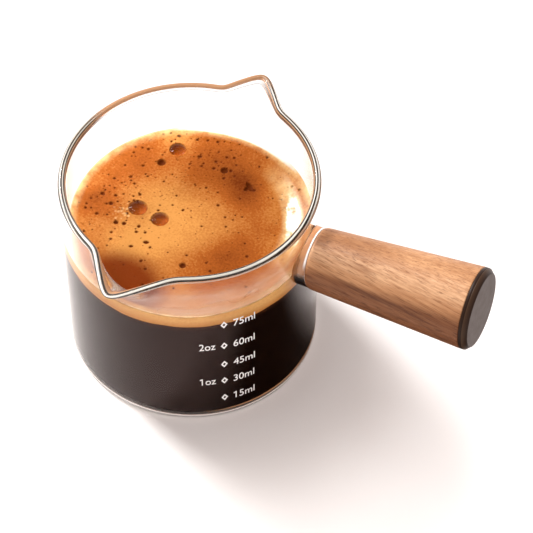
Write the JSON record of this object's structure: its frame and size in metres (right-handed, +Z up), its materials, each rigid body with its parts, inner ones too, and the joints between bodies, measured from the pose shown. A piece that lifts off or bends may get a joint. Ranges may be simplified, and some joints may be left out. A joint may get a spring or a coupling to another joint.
{
  "type": "double espresso",
  "caption": "Espresso under a layer of crema in a straight clear measuring glass with opposite pouring spouts and a tapered wooden side handle with a dark end cap.",
  "frame": {"origin": "on the glass's axis, at the underside of its base", "axes": "+Z up along the glass's axis, +X out along the handle, +Y towards the spout on the handle's left"},
  "size_m": [0.0995, 0.0726, 0.0521],
  "materials": {
    "glass": "clear, fire-polished rim",
    "coffee": "near-black brown liquid",
    "crema": "fine tan foam with open bubbles",
    "wood": "oiled straight-grained wood",
    "cap": "satin dark brown"
  },
  "bodies": {
    "root": {"glass_cup": "glass", "coffee": "coffee", "crema": "crema", "handle_boss": "glass", "handle_wood": "wood", "handle_cap": "cap"}
  },
  "joints": []
}
